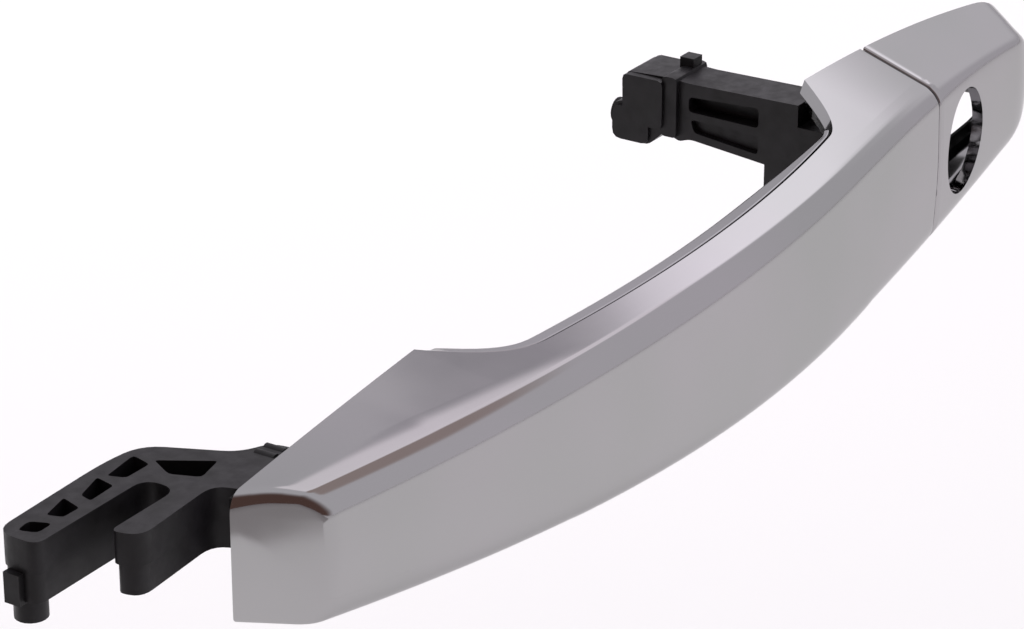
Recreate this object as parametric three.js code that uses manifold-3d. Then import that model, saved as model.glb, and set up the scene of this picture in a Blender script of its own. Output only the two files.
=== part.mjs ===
// Outside door handle of a car: a chromed strap that pivots on its front hook, and the fixed cap behind it.
// Millimetres. +X runs to the rear end (the cap), +Y goes into the door, +Z is up.
// The origin lies on the door plane y = 0, on the front rail of the cap's gasket.

import * as THREE from 'three';
import { mergeVertices } from 'three/addons/utils/BufferGeometryUtils.js';
import Module from 'manifold-3d';

const wasm = await Module();
wasm.setup();

// ---- driving dimensions -------------------------------------------------------------------------

const BACK = -1;                 // y of the chromed shells' back edges, one gasket off the door
const WALL = 2;                  // wall of the chromed shells
const FIT = 0.3;                 // clearance between neighbouring pieces
const GASKET = 0.7;              // thickness of the rubber seats
const FAR = 60;                  // longer than any piece is deep, for cutters

const STRAP_FRONT = -191;        // x of the strap's front end at its back edge
const STRAP_REAR = -3.9;         // x of the strap's rear end, at the parting gap
const CAP_FRONT = -3.1;          // x of the cap's front end, at the parting gap
const CAP_REAR = 57.4;           // x of the cap's rounded tip
const FRONT_SLANT = 0.5;         // how far the front end face leans back, x per y
const SLANT_RUN = 30;            // length over which the sections turn upright again

const BOW_DEPTH = 26.4;          // distance of the outer face from the door plane at the bow's crest
const BOW_CREST = -93;           // x of the crest
const BOW_CURVE = 1.5e-3;        // curvature term of the bow
const BOW_END = -45;             // x behind which the outer face runs straight

const TOP_CREST = -25;           // x where the top edge is highest
const TOP_HEIGHT = 17.8;         // z of the top edge there
const TOP_FALL_FRONT = 3.8e-4;   // fall of the top edge towards the front
const TOP_FALL_REAR = 1.2e-3;    // fall of the top edge towards the rear
const RIDGE_CREST = -30;         // x in front of which the ridge closes up to the top edge
const RIDGE_DROP = 7.3;          // drop from the top edge to the ridge, from there rearwards
const RIDGE_CLOSING = 1.85e-4;   // how fast the ridge closes up
const RIDGE_RADIUS = 2;          // rounding of the ridge between chamfer and outer face
const CHAMFER_DROP = 2.7;        // height of the chamfer between top facet and ridge
const CHAMFER_FRONT = 3.9;       // depth of the chamfer at the front end
const CHAMFER_REAR = 2.5;        // depth of the chamfer from the gap rearwards
const CREASE_RADIUS = 0.9;       // rounding of the crease between top facet and chamfer
const CROWN = 0.5;               // bulge of the outer face
const BOTTOM_CREST = -30;        // x where the bottom edge is lowest
const BOTTOM_DEPTH = 18.05;      // z of the bottom below zero there
const BOTTOM_RISE = 5.5;         // rise of the bottom edge over BOTTOM_SPAN
const BOTTOM_SPAN = 160;
const BOTTOM_RADIUS = 5;         // rounding of the bottom edge
const BOTTOM_FALL = 0.7;         // the bottom face falls this much from corner to back edge
const END_ROUNDING = 1.6;        // rounding of the front end face's rim
const GAP_ROUNDING = 0.5;        // rounding of the rims at the parting gap

const GRIP_FRONT = -144.9;       // x of the finger opening's front end
const GRIP_REAR = -24.8;         // x of the finger opening's rear end
const GRIP_DEPTH = 18.1;         // depth of the opening at its crest
const GRIP_CREST = -88;          // x of that crest
const GRIP_CURVE = 1.8e-3;       // the opening's edge follows the bow
const GRIP_FRONT_CORNER = 16;    // length over which the front corner opens
const GRIP_REAR_CORNER = 14;     // length over which the rear corner closes

const TIP_START = 40;            // x where the cap's rounded tip starts
const TIP_Z = -3;                // height of the tip
const TIP_POWER = 2.8;           // how squarely the sections run into the tip
const KEYHOLE = new THREE.Vector3(11, -14.5, -2.2);
const KEYHOLE_RADIUS = 9.8;
const KEYHOLE_AXIS = new THREE.Vector3(0.2, -0.96, -0.12).normalize();

const PIVOT = new THREE.Vector2(-195.4, 9.9);  // centre of the hook slot's round end
const HOOK_TOP = 6.9;
const HOOK_BOTTOM = -2.8;
const HOOK_STEP = 1.8;           // height of the moulding step in the hook's walls
const SLOT_HALF = 2.9;
const POST = new THREE.Vector2(-213.6, 16.9);
const POST_RADIUS = 2.5;
const POST_BOTTOM = -6.6;

const LEG_FRONT = -26;
const LEG_REAR = -17;
const FOOT_FRONT = -26;
const FOOT_REAR = -7.5;

const SCREW_SHANK = 1.5;
const SCREW_HEAD = 3.1;
const HEAD_HEIGHT = 2;
const BOSS_RADIUS = 3.4;

const CHROME = { color: 0xc9c6cb, metalness: 1, roughness: 0.12 };
const NYLON = { color: 0x232125, metalness: 0, roughness: 0.55 };
const RUBBER = { color: 0x161616, metalness: 0, roughness: 0.9 };
const STEEL = { color: 0x8d8f92, metalness: 1, roughness: 0.4 };
const BRASS = { color: 0xb8964f, metalness: 1, roughness: 0.35 };

// ---- solids -------------------------------------------------------------------------------------

const geometryOfSolid = (solid) => {
  const mesh = solid.getMesh();
  const geometry = new THREE.BufferGeometry();
  geometry.setAttribute('position', new THREE.BufferAttribute(Float32Array.from(mesh.vertProperties), 3));
  geometry.setIndex(new THREE.BufferAttribute(Uint32Array.from(mesh.triVerts), 1));
  return geometry;
};

const solidOf = (geometry) => {
  const bare = geometry.clone();
  bare.deleteAttribute('normal');
  bare.deleteAttribute('uv');
  const merged = mergeVertices(bare, 1e-4);
  return new wasm.Manifold(new wasm.Mesh({
    numProp: 3,
    vertProperties: Float32Array.from(merged.attributes.position.array),
    triVerts: Uint32Array.from(merged.index.array),
  }));
};

const box = (x0, x1, y0, y1, z0, z1) => {
  const geometry = new THREE.BoxGeometry(x1 - x0, y1 - y0, z1 - z0);
  geometry.translate((x0 + x1) / 2, (y0 + y1) / 2, (z0 + z1) / 2);
  return solidOf(geometry);
};

// A round bar between two points.
const rod = (from, to, radius, sides = 20) => {
  const axis = new THREE.Vector3().subVectors(to, from);
  const geometry = new THREE.CylinderGeometry(radius, radius, axis.length(), sides);
  const turn = new THREE.Quaternion().setFromUnitVectors(new THREE.Vector3(0, 1, 0), axis.clone().normalize());
  geometry.applyQuaternion(turn);
  const middle = new THREE.Vector3().addVectors(from, to).multiplyScalar(0.5);
  geometry.translate(middle.x, middle.y, middle.z);
  return solidOf(geometry);
};

const rodAlongY = (x, z, y0, y1, radius, sides) =>
  rod(new THREE.Vector3(x, y0, z), new THREE.Vector3(x, y1, z), radius, sides);

const rodAlongZ = (x, y, z0, z1, radius, sides) =>
  rod(new THREE.Vector3(x, y, z0), new THREE.Vector3(x, y, z1), radius, sides);

// An outline in plan (x, y), raised from z0 to z1.
const plate = (shape, z0, z1, curveSegments = 10) => {
  const geometry = new THREE.ExtrudeGeometry(shape, { depth: z1 - z0, bevelEnabled: false, curveSegments });
  geometry.translate(0, 0, z0);
  return solidOf(geometry);
};

// An outline in side view (y, z), pulled from x0 to x1.
const sidePlate = (shape, x0, x1) => {
  const geometry = new THREE.ExtrudeGeometry(shape, { depth: x1 - x0, bevelEnabled: false, curveSegments: 6 });
  const turn = new THREE.Matrix4().makeBasis(
    new THREE.Vector3(0, 1, 0), new THREE.Vector3(0, 0, 1), new THREE.Vector3(1, 0, 0));
  geometry.applyMatrix4(turn);
  geometry.translate(x0, 0, 0);
  return solidOf(geometry);
};

// An outline in front view (x, z), pulled from y0 to y1.
const frontPlate = (shape, y0, y1) => {
  const geometry = new THREE.ExtrudeGeometry(shape, { depth: y1 - y0, bevelEnabled: false, curveSegments: 10 });
  geometry.rotateX(Math.PI / 2);
  geometry.translate(0, y1, 0);
  return solidOf(geometry);
};

// Rounds each corner [a, b, radius] of a closed outline with a curve of the given number of steps.
const roundedOutline = (corners, steps) => {
  const points = [];
  corners.forEach(([a, b, radius], index) => {
    const corner = new THREE.Vector2(a, b);
    const neighbour = (offset) => {
      const [na, nb] = corners[(index + offset + corners.length) % corners.length];
      return new THREE.Vector2(na, nb);
    };
    if (radius === 0) {
      points.push(corner);
      return;
    }
    const cutTowards = (other) => {
      const length = corner.distanceTo(other);
      return corner.clone().lerp(other, Math.min(radius / length, 0.5));
    };
    const curve = new THREE.QuadraticBezierCurve(cutTowards(neighbour(-1)), corner, cutTowards(neighbour(1)));
    points.push(...curve.getPoints(steps));
  });
  return points;
};

// A skin over rings of points: a cylinder grid whose vertices are moved onto the rings.
const loft = (rings) => {
  const rows = rings.length - 1;
  const sides = rings[0].length;
  const geometry = new THREE.CylinderGeometry(1, 1, 1, sides, rows);
  const position = geometry.attributes.position;
  for (let i = 0; i < position.count; i += 1) {
    const vertex = new THREE.Vector3().fromBufferAttribute(position, i);
    const row = Math.round((0.5 - vertex.y) * rows);
    const ring = rings[row];
    if (Math.hypot(vertex.x, vertex.z) < 0.5) {
      vertex.set(0, 0, 0);
      ring.forEach((point) => vertex.addScaledVector(point, 1 / sides));
    } else {
      const turn = Math.atan2(vertex.x, vertex.z) / (2 * Math.PI);
      vertex.copy(ring[(Math.round(turn * sides) + sides) % sides]);
    }
    position.setXYZ(i, vertex.x, vertex.y, vertex.z);
  }
  return solidOf(geometry);
};

// ---- the handle's character curves --------------------------------------------------------------

const bowY = (x) => {
  const curved = Math.min(x, BOW_END) - BOW_CREST;
  const straight = Math.max(x - BOW_END, 0);
  const slope = 2 * BOW_CURVE * (BOW_END - BOW_CREST);
  return -BOW_DEPTH + BOW_CURVE * curved * curved + slope * straight;
};

const topZ = (x) => TOP_HEIGHT - (x < TOP_CREST ? TOP_FALL_FRONT : TOP_FALL_REAR) * (x - TOP_CREST) ** 2;

const ridgeDrop = (x) => RIDGE_DROP - RIDGE_CLOSING * Math.min(x - RIDGE_CREST, 0) ** 2;

const chamferDepth = (x) =>
  THREE.MathUtils.mapLinear(Math.min(x, -5), STRAP_FRONT + 5, -5, CHAMFER_FRONT, CHAMFER_REAR);

const bottomZ = (x) => {
  const rise = x < BOTTOM_CREST ? BOTTOM_RISE : 2.25 * BOTTOM_RISE;
  return -BOTTOM_DEPTH + rise * ((x - BOTTOM_CREST) / BOTTOM_SPAN) ** 2;
};

// Floor of the finger opening, without its corners.
const gripFloorY = (x) => -GRIP_DEPTH + GRIP_CURVE * (x - GRIP_CREST) ** 2;

// Edge of the finger opening: it leaves the back plane over the two corners.
const gripY = (x) => {
  const fromFront = THREE.MathUtils.clamp((x - GRIP_FRONT) / GRIP_FRONT_CORNER, 0, 1);
  const fromRear = THREE.MathUtils.clamp((GRIP_REAR - x) / GRIP_REAR_CORNER, 0, 1);
  const opened = 1 - (1 - fromFront) ** 2.6;
  const closed = 1 - (1 - fromRear) ** 2;
  return BACK + (gripFloorY(x) - BACK) * opened * closed;
};

// Scale of the cap's sections over its rounded tip: one up to TIP_START, zero at CAP_REAR.
const tipScale = (x) => {
  const along = THREE.MathUtils.clamp((x - TIP_START) / (CAP_REAR - TIP_START), 0, 1);
  return (1 - along ** TIP_POWER) ** 0.5;
};

// Outer corners of the section at x, shrunk by inset. backY is where the section is closed behind.
const sectionCorners = (x, inset, backY) => {
  const scale = tipScale(x);
  const outer = bowY(x) + inset;
  const top = topZ(x) - inset;
  const ridge = topZ(x) - ridgeDrop(x);
  const creaseY = bowY(x) + chamferDepth(x) + 0.43 * inset;
  const crease = ridge + CHAMFER_DROP - 0.93 * inset;
  const bottom = bottomZ(x) + inset;
  const facetSlope = (top - crease) / (BACK - creaseY);
  const softening = Math.max(0, x) * 0.12;
  const corners = [
    [backY, crease + facetSlope * (backY - creaseY), 0],
    [backY, bottom - BOTTOM_FALL, 0],
    [outer + 0.3, bottom, BOTTOM_RADIUS],
    [outer - CROWN, (ridge + bottom) / 2, 4 * BOTTOM_RADIUS],
    [outer, ridge - 0.52 * inset, RIDGE_RADIUS + softening],
    [creaseY, crease, CREASE_RADIUS + softening],
  ];
  return corners.map(([y, z, radius]) => [
    BACK + (y - BACK) * scale,
    TIP_Z + (z - TIP_Z) * scale,
    radius * scale,
  ]);
};

const SECTION_STEPS = 3;

// x on the outer face where a plane leaning by slant from the back edge at x meets it.
const outerStation = (x, slant) => {
  let station = x;
  for (let round = 0; round < 4; round += 1) {
    station = x + slant * (BACK - bowY(station));
  }
  return station;
};

// The ring of points of the section at x. A ring may lean by slant, to end flush with the front end face.
const sectionRing = (x, inset, backY, slant = 0) => {
  const behind = sectionCorners(x, inset, backY).slice(0, 2);
  const outside = sectionCorners(outerStation(x, slant), inset, backY).slice(2);
  return roundedOutline([...behind, ...outside], SECTION_STEPS)
    .map((point) => new THREE.Vector3(x + slant * (BACK - point.x), point.x, point.y));
};

const slantAt = (x) => FRONT_SLANT * THREE.MathUtils.clamp(1 - (x - STRAP_FRONT) / SLANT_RUN, 0, 1);

const steps = (from, to, count) =>
  Array.from({ length: count + 1 }, (_, index) => from + ((to - from) * index) / count);

// How far a rim of the given radius lies inside the skin at a distance from its end.
const rimInset = (distance, radius) =>
  (distance >= radius ? 0 : radius - Math.sqrt(radius ** 2 - (radius - distance) ** 2));

const rimSteps = (radius) => [0, 0.12, 0.4, 1].map((part) => part * radius);

// A solid through the given stations that fills the skin up to inset; backOf gives where it is closed behind.
const filler = (stations, inset, backOf, leaning = false) =>
  loft(stations.map((x) => sectionRing(x, inset, backOf(x), leaning ? slantAt(x) : 0)));

// ---- strap --------------------------------------------------------------------------------------

const strapStations = () => [
  ...rimSteps(END_ROUNDING).map((distance) => STRAP_FRONT + distance),
  ...steps(STRAP_FRONT + 6, GRIP_FRONT, 7),
  ...steps(GRIP_FRONT + 1, GRIP_FRONT + 8, 6),
  ...steps(GRIP_FRONT + 12, GRIP_REAR - 16, 18),
  ...steps(GRIP_REAR - 12, GRIP_REAR - 0.5, 8),
  ...steps(GRIP_REAR, STRAP_REAR - 5, 3),
  ...rimSteps(GAP_ROUNDING).reverse().map((distance) => STRAP_REAR - distance),
];

const strapSkin = () => loft(strapStations().map((x) => {
  const front = rimInset(x - STRAP_FRONT, END_ROUNDING);
  const rear = rimInset(STRAP_REAR - x, GAP_ROUNDING);
  return sectionRing(x, front + rear, gripY(x), slantAt(x));
}));

const strapCavity = () => {
  const stations = [
    ...steps(STRAP_FRONT + 1.2 * WALL, STRAP_FRONT + SLANT_RUN, 6),
    ...steps(STRAP_FRONT + SLANT_RUN + 6, STRAP_REAR - WALL, 18),
  ];
  return filler(stations, WALL, () => 4, true);
};

// The shell's return flange around the rear corner of the finger opening.
const cornerFlange = () => {
  const edge = steps(GRIP_REAR - 20, GRIP_REAR - 0.2, 12).map((x) => new THREE.Vector2(x, gripY(x)));
  const outer = edge.map((point) => new THREE.Vector2(point.x + 1.4, point.y - 1.6));
  const shape = new THREE.Shape([...edge, ...outer.reverse()]);
  return plate(shape, 10, FAR / 2).intersect(strapSkin());
};

const STRAP_SCREWS = [[-160, -1], [-14, 0]];
const BEAM_SCREWS = [[-118, -2], [-66, -2]];

// A screw boss standing on the inside of the outer wall, and the bore it shares with the wall.
const boss = ([x, z], toY) => {
  const inside = filler([x - 2 * BOSS_RADIUS, x, x + 2 * BOSS_RADIUS], WALL / 2, () => 0);
  return rodAlongY(x, z, -FAR, toY, BOSS_RADIUS).intersect(inside);
};

const BORE_START = 1.2;          // depth of the screw bores below the outer face
const boreOf = ([x, z], toY) => rodAlongY(x, z, bowY(x) + BORE_START, toY + 1, SCREW_SHANK + FIT);

const withBosses = (shell, places, endOf) => {
  const raised = places.reduce((sum, place) => sum.add(boss(place, endOf(place[0]))), shell);
  return places.reduce((sum, place) => sum.subtract(boreOf(place, endOf(place[0]))), raised);
};

const STRAP_BOSS_END = -8;
const beamBossEnd = (x) => bowY(x) + 4.4;

const strapShell = () => {
  const hollow = strapSkin().subtract(strapCavity()).add(cornerFlange());
  return withBosses(withBosses(hollow, STRAP_SCREWS, () => STRAP_BOSS_END), BEAM_SCREWS, beamBossEnd);
};

const LINER_FRONT = GRIP_FRONT + 1.5;
const LINER_REAR = GRIP_REAR - 11.5;
const LINER_SEAM = 0.4;          // seam between the shell's long edges and the liner
const LINER_DEPTH = 3.7;         // how far the liner stands out of the shell towards the fingers
const LINER_THINNING = [-75, 2]; // towards the cap the liner thins, from this station, by this much in all
const LINER_SETBACK = 0.3;       // the liner is this much lower than the shell all round
const TONGUE = 3.2;              // depth of the rib that locates the liner between the shell's walls

const linerDepth = (x) => {
  const [from, loss] = LINER_THINNING;
  return LINER_DEPTH - loss * Math.max(0, (x - from) / (LINER_REAR - from)) ** 2;
};

// Section of the liner: a lid over the grip's open side, rounded towards the fingers.
const linerSection = (x) => {
  const lean = Math.hypot(1, (gripY(x + 0.1) - gripY(x - 0.1)) / 0.2);
  const seam = gripY(x) + LINER_SEAM * lean;
  const back = Math.min(gripY(x) + linerDepth(x) * lean, BACK - 0.4);
  const [[, top], [, bottom]] = sectionCorners(x, LINER_SETBACK, seam);
  return [
    [seam, top, 0],
    [back, top - 0.4, 1.3],
    [back + 0.4, (top + bottom) / 2, 9],
    [back, bottom + 0.4, 1.3],
    [seam, bottom, 0],
  ];
};

const sideLoft = (stations, sectionOf, cornerSteps) => loft(stations.map((x) =>
  roundedOutline(sectionOf(x), cornerSteps).map((point) => new THREE.Vector3(x, point.x, point.y))));

const gripLiner = () => {
  const stations = [...steps(LINER_FRONT, LINER_FRONT + 14, 10), ...steps(LINER_FRONT + 19, LINER_REAR, 17)];
  const lid = sideLoft(stations, linerSection, 3);
  const tongueSection = (x) => {
    const [[, top], [, bottom]] = sectionCorners(x, WALL + FIT, gripY(x));
    const front = gripY(x) - TONGUE + 1;
    const back = gripY(x) + 1;
    return [[back, top - 0.5, 0], [back, bottom + 0.5, 0], [front, bottom + 0.8, 0], [front, top - 0.8, 0]];
  };
  const tongue = sideLoft(steps(LINER_FRONT + 15, LINER_REAR - 10, 14), tongueSection, 1);
  const hollow = sideLoft(steps(LINER_FRONT + 17, LINER_REAR - 12, 14), (x) => {
    const [[, top], [, bottom]] = sectionCorners(x, WALL + FIT + 1.8, gripY(x));
    const front = gripY(x) - TONGUE - 1;
    const back = gripY(x) + 0.9;
    return [[back, top, 0], [back, bottom, 0], [front, bottom, 0], [front, top, 0]];
  }, 1);
  return lid.add(tongue).subtract(hollow);
};

const BEAM_FRONT = -147;
const BEAM_REAR = FOOT_FRONT - FIT;
const BEAM_LOW = -12;
const BEAM_HIGH = 7.5;

const BEAM_WEB = 0.8;            // web of the beam under each screw head

const gripBeam = () => {
  const stations = steps(BEAM_FRONT, BEAM_REAR, 18);
  const body = filler(stations, WALL + 2 * FIT, (x) => gripFloorY(x) - TONGUE + 1 - FIT)
    .intersect(box(BEAM_FRONT - 1, BEAM_REAR + 1, -FAR, 0, BEAM_LOW, BEAM_HIGH));
  return BEAM_SCREWS.reduce((beam, [x, z]) => {
    const web = beamBossEnd(x) + FIT;
    return beam
      .subtract(rodAlongY(x, z, -FAR, web, BOSS_RADIUS + FIT))
      .subtract(rodAlongY(x, z, -FAR, 0, SCREW_SHANK + FIT))
      .subtract(rodAlongY(x, z, web + BEAM_WEB, 0, SCREW_HEAD + FIT));
  }, body);
};

// Outline of the hook in plan. draft pulls every wall in, for the narrower lower half of the moulding.
const hookOutline = (draft) => new THREE.Shape(roundedOutline([
  [POST.x - 2.8, POST.y + 3.4 - draft, 3.4],
  [-191.5, 21.1 - draft, 5],
  [-184.2, 20 - draft, 3.5],
  [-178.2, 6.9 - draft, 2.5],
  [-173.4, 4.6 - draft, 2],
  [-172.6, BACK + 0.2, 0],
  [-187.6 + draft, BACK + 0.2, 0],
  [-189, 3.5 + draft, 3],
  [-206.6, 2.3 + draft, 2.6],
  [-207.8 + draft, PIVOT.y - SLOT_HALF - draft, 1.6],
  [PIVOT.x + SLOT_HALF + draft, PIVOT.y - SLOT_HALF - draft, SLOT_HALF],
  [PIVOT.x + SLOT_HALF + draft, PIVOT.y + SLOT_HALF + draft, SLOT_HALF],
  [POST.x + 1.5, PIVOT.y + SLOT_HALF + draft, 0.8],
  [POST.x - 2.9, PIVOT.y + SLOT_HALF + draft, 2],
], 5));

const POCKET_FLOOR = 1.5;

const hookPockets = () => [
  [[-214.6, 17.8, 0.8], [-211.6, 18.2, 0.8], [-210.3, 15, 0.8], [-213.6, 14.9, 0.8]],
  [[-208.8, 17.4, 0.5], [-203.4, 18.7, 0.5], [-204.6, 14.9, 0.5], [-208, 15, 0.5]],
  [[-201.4, 17.2, 0.5], [-195.8, 18.8, 0.5], [-196.6, 15.2, 0.5], [-202, 15, 0.5]],
  [[-194.6, 18, 0.5], [-187.4, 18.9, 0.8], [-188.4, 15.2, 0.6], [-193.6, 15.3, 0.6]],
  [[-187, 15.4, 0.6], [-182.2, 7.6, 0.6], [-187.6, 6.4, 0.8], [-189.4, 11, 0.8]],
].map((corners) => plate(new THREE.Shape(roundedOutline(corners, 2)), POCKET_FLOOR, HOOK_TOP + 1));

// The foot that fills the strap's front end and carries the hook.
const hookFoot = () => {
  const [[screwX, screwZ]] = STRAP_SCREWS;
  const front = STRAP_FRONT + 4.4;
  return filler(steps(front, BEAM_FRONT - FIT, 8), WALL + FIT, () => BACK, true)
    .intersect(box(STRAP_FRONT, BEAM_FRONT, -FAR, BACK, -9.5, 8.5))
    .subtract(box(-171, -165, -FAR, -5, -20, 20))
    .subtract(box(-156, BEAM_FRONT + 1, -7, 1, -20, 20))
    .subtract(rodAlongY(screwX, screwZ, -FAR, STRAP_BOSS_END + FIT, BOSS_RADIUS + FIT))
    .subtract(rodAlongY(screwX, screwZ, -FAR, 1, SCREW_SHANK + FIT))
    .subtract(rodAlongY(screwX, screwZ, STRAP_BOSS_END + 2, 1, SCREW_HEAD + FIT));
};

const hookArm = () => {
  const step = HOOK_STEP;
  const post = rodAlongZ(POST.x, POST.y, POST_BOTTOM, HOOK_TOP, POST_RADIUS);
  const lug = box(POST.x - 3.9, POST.x - 1, POST.y - 1.4, POST.y + 1.4, -3.2, 1.6);
  const body = plate(hookOutline(0), step, HOOK_TOP)
    .add(plate(hookOutline(0.35), HOOK_BOTTOM, step))
    .add(post)
    .add(lug);
  const pocketed = hookPockets().reduce((arm, pocket) => arm.subtract(pocket), body);
  const ribs = [-176.5, -174.2].map((x) => rodAlongY(x, HOOK_TOP - 0.7, 1.5, 5, 1, 16));
  const neck = box(-185.4, -173.6, BACK - 4, BACK + 0.8, HOOK_BOTTOM, 4.2);
  return ribs.reduce((arm, rib) => arm.add(rib), pocketed).add(neck).add(hookFoot());
};

const HEAD_TOP = 12.8;

// Side view of the leg: web, underside bump and notch, and the hammer head at its tip.
const legOutline = () => new THREE.Shape(roundedOutline([
  [-0.6, 0.9, 0],
  [5.8, 0.9, 0.5],
  [21.1, 2.4, 1],
  [23.2, 1.6, 0.6],
  [26.2, 2.8, 0.6],
  [29.6, -0.4, 1],
  [35.3, -0.2, 1.5],
  [37.2, 2.6, 1.5],
  [37, 6.4, 1.2],
  [34.3, 7.2, 0.5],
  [34.3, HEAD_TOP, 0.8],
  [26.4, HEAD_TOP + 0.4, 0.6],
  [21, 12.9, 1],
  [-0.6, 13.3, 0],
], 3));

const legHead = () => {
  const shoulder = new THREE.Shape(roundedOutline(
    [[26, 3.6, 1], [34.1, 3.6, 1], [34.3, HEAD_TOP, 1], [26, HEAD_TOP, 1]], 2));
  const toe = new THREE.Shape(roundedOutline(
    [[29.4, -0.2, 1.4], [36.9, -0.2, 1.8], [36.9, 6.2, 1.8], [29.4, 6.2, 1]], 3));
  const collar = new THREE.Shape(roundedOutline(
    [[23.4, 2.4, 0.6], [26.4, 2.4, 0.6], [26.4, HEAD_TOP + 0.9, 0.8], [23.4, HEAD_TOP + 0.9, 0.8]], 2));
  return sidePlate(shoulder, LEG_FRONT - 1.6, LEG_REAR + 1.4)
    .add(sidePlate(collar, LEG_FRONT - 1, LEG_REAR + 0.8))
    .add(sidePlate(toe, LEG_FRONT - 0.6, LEG_REAR + 0.4));
};

const FOOT_LOW = -13;
const FOOT_HIGH = 9.2;
const FOOT_BACK = 5.8;           // how far the foot block reaches through the door skin

const rearLeg = () => {
  const [, [screwX, screwZ]] = STRAP_SCREWS;
  const inside = filler(steps(FOOT_FRONT, FOOT_REAR, 6), WALL + FIT, () => FOOT_BACK)
    .intersect(box(FOOT_FRONT, FOOT_REAR, -FAR, FOOT_BACK, FOOT_LOW, FOOT_HIGH));
  const block = inside
    .subtract(box(-21.6, -19, -FAR, -4, -FAR, FAR))
    .subtract(rodAlongY(screwX, screwZ, -FAR, STRAP_BOSS_END + FIT, BOSS_RADIUS + FIT))
    .subtract(rodAlongY(screwX, screwZ, -FAR, FAR, SCREW_SHANK + FIT))
    .subtract(rodAlongY(screwX, screwZ, STRAP_BOSS_END + 2, FAR, SCREW_HEAD + FIT));
  const pocketShapes = [
    [[7.2, 7.4, 0.8], [21.4, 7.6, 0.8], [21.4, 10.4, 0.8], [7.2, 11.1, 0.8]],
    [[7.2, 2.4, 0.8], [20.2, 3.8, 0.8], [21, 6.2, 0.8], [7.2, 6, 0.8]],
  ].map((corners) => new THREE.Shape(roundedOutline(corners, 3)));
  const pockets = pocketShapes.flatMap((shape, index) => {
    const depth = index === 0 ? 3.2 : 1.2;
    return [
      sidePlate(shape, LEG_FRONT - 1, LEG_FRONT + depth),
      sidePlate(shape, LEG_REAR - depth, LEG_REAR + 1),
    ];
  });
  const tab = box(LEG_REAR - 3.4, LEG_REAR - 0.4, 23.8, 26.6, 10, 15.3);
  const web = pockets.reduce((leg, pocket) => leg.subtract(pocket), sidePlate(legOutline(), LEG_FRONT, LEG_REAR));
  return web.add(legHead()).add(tab).add(block);
};

// Rubber stop that takes the strap's return blow on the leg's toe.
const legBumper = () => rodAlongY((LEG_FRONT + LEG_REAR) / 2, 3, 37.2 + FIT, 39, 2.4)
  .add(rodAlongY((LEG_FRONT + LEG_REAR) / 2, 3, 33.5, 37.8, 1.1));
const bumperHole = () => rodAlongY((LEG_FRONT + LEG_REAR) / 2, 3, 33.2, FAR, 1.1 + FIT);

// ---- seats --------------------------------------------------------------------------------------

const SEAT_INSET = 1.2;

// Outline of a seat in front view between two stations, inset from the skin's edge.
const seatOutline = (from, to, inset, count = 12) => {
  const stations = steps(from, to, count);
  const edge = (index) => stations.map((x) => {
    const [, z] = sectionCorners(x, inset, BACK)[index];
    return new THREE.Vector2(x, z);
  });
  return [...edge(0), ...edge(1).reverse()];
};

const frameSeat = (from, to, rail) => {
  const seat = frontPlate(new THREE.Shape(seatOutline(from, to, SEAT_INSET)), BACK + 0.3, BACK + 0.3 + GASKET);
  const window = frontPlate(
    new THREE.Shape(seatOutline(from + rail, to - rail, SEAT_INSET + rail)), BACK - 1, BACK + 2);
  return seat.subtract(window);
};

const strapFrontGasket = () => frameSeat(STRAP_FRONT + SEAT_INSET, -150, 1.4)
  .subtract(box(-188.4, -172.2, -FAR, FAR, HOOK_BOTTOM - FIT, FAR));

const strapRearGasket = () => frameSeat(GRIP_REAR + 3, STRAP_REAR - SEAT_INSET, 2)
  .subtract(box(FOOT_FRONT - 1, FOOT_REAR + FIT, -FAR, FAR, FOOT_LOW - FIT, 14.8));

const capGasket = () => frameSeat(CAP_FRONT + SEAT_INSET, CAP_REAR - 3, 3);

// ---- fasteners ----------------------------------------------------------------------------------

// A self-tapping screw driven towards the outer face, with a cross recess in its round head.
const screw = (x, z, headY, length) => {
  const profile = [[0, 0], [SCREW_SHANK, 0], [SCREW_SHANK, -length + 1.2], [0, -length]]
    .map(([radius, y]) => new THREE.Vector2(radius, y));
  const shank = new THREE.LatheGeometry([...profile].reverse(), 16);
  shank.translate(x, headY + 0.2, z);
  const cross = box(x - 1.9, x + 1.9, headY + HEAD_HEIGHT - 1.1, headY + 5, z - 0.35, z + 0.35)
    .add(box(x - 0.35, x + 0.35, headY + HEAD_HEIGHT - 1.1, headY + 5, z - 1.9, z + 1.9));
  return rodAlongY(x, z, headY, headY + HEAD_HEIGHT, SCREW_HEAD, 24).add(solidOf(shank)).subtract(cross);
};

const strapScrew = (index) => {
  const [x, z] = STRAP_SCREWS[index];
  return screw(x, z, STRAP_BOSS_END + 2 + FIT, 8);
};

const beamScrew = ([x, z]) => screw(x, z, beamBossEnd(x) + BEAM_WEB + 2 * FIT, 4.5);

// ---- cap ----------------------------------------------------------------------------------------

const capStations = () => [
  ...rimSteps(GAP_ROUNDING).map((distance) => CAP_FRONT + distance),
  ...steps(CAP_FRONT + 5, TIP_START, 8),
  ...steps(1, 12, 11).map((step) => CAP_REAR - (CAP_REAR - TIP_START) * (1 - step / 12.2) ** 1.8),
];

const capSkin = () => loft(capStations().map((x) =>
  sectionRing(x, rimInset(x - CAP_FRONT, GAP_ROUNDING), BACK)));

const capCavity = () => filler([
  ...steps(CAP_FRONT + WALL, TIP_START, 8),
  ...steps(TIP_START + 2, CAP_REAR - WALL - 1.2, 8),
], WALL, () => 4);

const CAP_SCREWS = [[2.6, 9.2], [36, 3]];
const capBossEnd = (x) => Math.max(-6.4, bowY(x) + 5.6);

const keyholeTool = (radius) => {
  const along = KEYHOLE_AXIS.clone().multiplyScalar(6);
  return rod(KEYHOLE.clone().sub(along), KEYHOLE.clone().add(along), radius, 48);
};

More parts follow.
